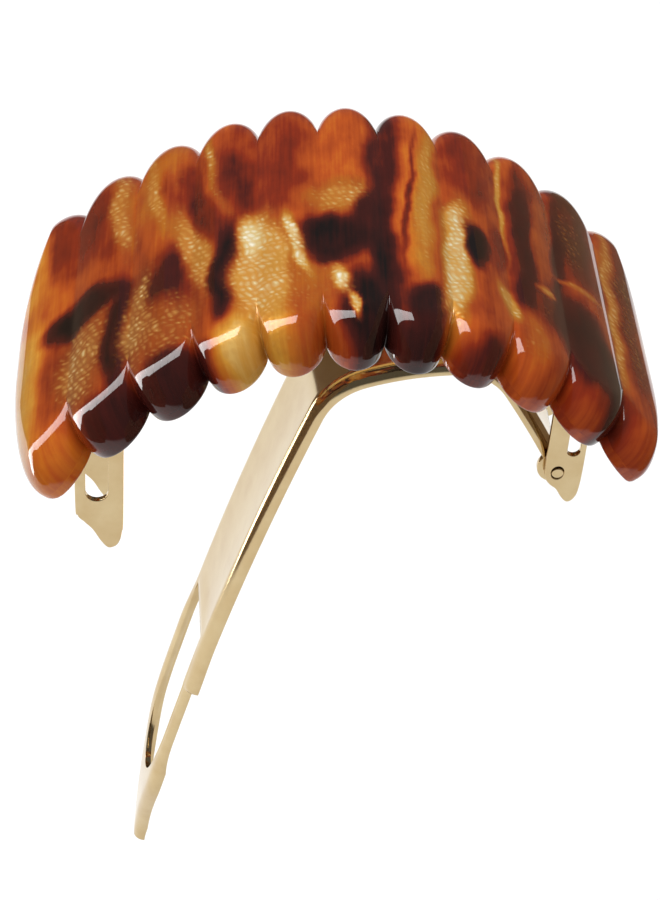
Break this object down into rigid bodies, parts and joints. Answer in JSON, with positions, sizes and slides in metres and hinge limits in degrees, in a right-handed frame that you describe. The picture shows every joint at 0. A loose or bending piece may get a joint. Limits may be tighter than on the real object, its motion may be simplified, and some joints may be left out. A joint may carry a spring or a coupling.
{
  "type": "hair barrette",
  "caption": "Arched hair barrette with a ribbed acetate bow on a hinged metal clip whose looped arm snaps over two squeeze wings.",
  "frame": {"origin": "middle of the base bar's underside, where the clip lies on the hair", "axes": "+X along the clip towards the hinge, +Y towards the back edge of the bow, +Z away from the hair"},
  "size_m": [0.077, 0.0478, 0.111],
  "materials": {
    "acetate": "polished tortoiseshell acetate",
    "clip_metal": "polished pale gold plate",
    "spring_metal": "polished pale gold plate",
    "rivet_metal": "satin gold plate"
  },
  "bodies": {
    "root": {"acetate_body": "acetate", "base_bar": "clip_metal", "catch_bracket": "clip_metal", "hinge_bracket": "clip_metal", "tension_spring": "spring_metal", "mounting_rivets": "rivet_metal"},
    "arm": {"clasp_arm": "clip_metal"},
    "wing_front": {"catch_wing_front": "clip_metal"},
    "wing_back": {"catch_wing_back": "clip_metal"}
  },
  "joints": [
    {"name": "arm_hinge", "type": "hinge", "parent": "root", "child": "arm", "pos_m": [0.027, 0, -0.0296], "axis": [0, 1, 0], "range_deg": [0, 25]},
    {"name": "wing_front_squeeze", "type": "hinge", "parent": "root", "child": "wing_front", "pos_m": [-0.02787, -0.00455, -0.01597], "axis": [0.7229, 0, 0.6909], "range_deg": [0, 5], "stiffness_Nm_per_rad": 0.08},
    {"name": "wing_back_squeeze", "type": "hinge", "parent": "root", "child": "wing_back", "pos_m": [-0.02787, 0.00455, -0.01597], "axis": [0.7229, 0, 0.6909], "range_deg": [-5, 0], "stiffness_Nm_per_rad": 0.08}
  ]
}
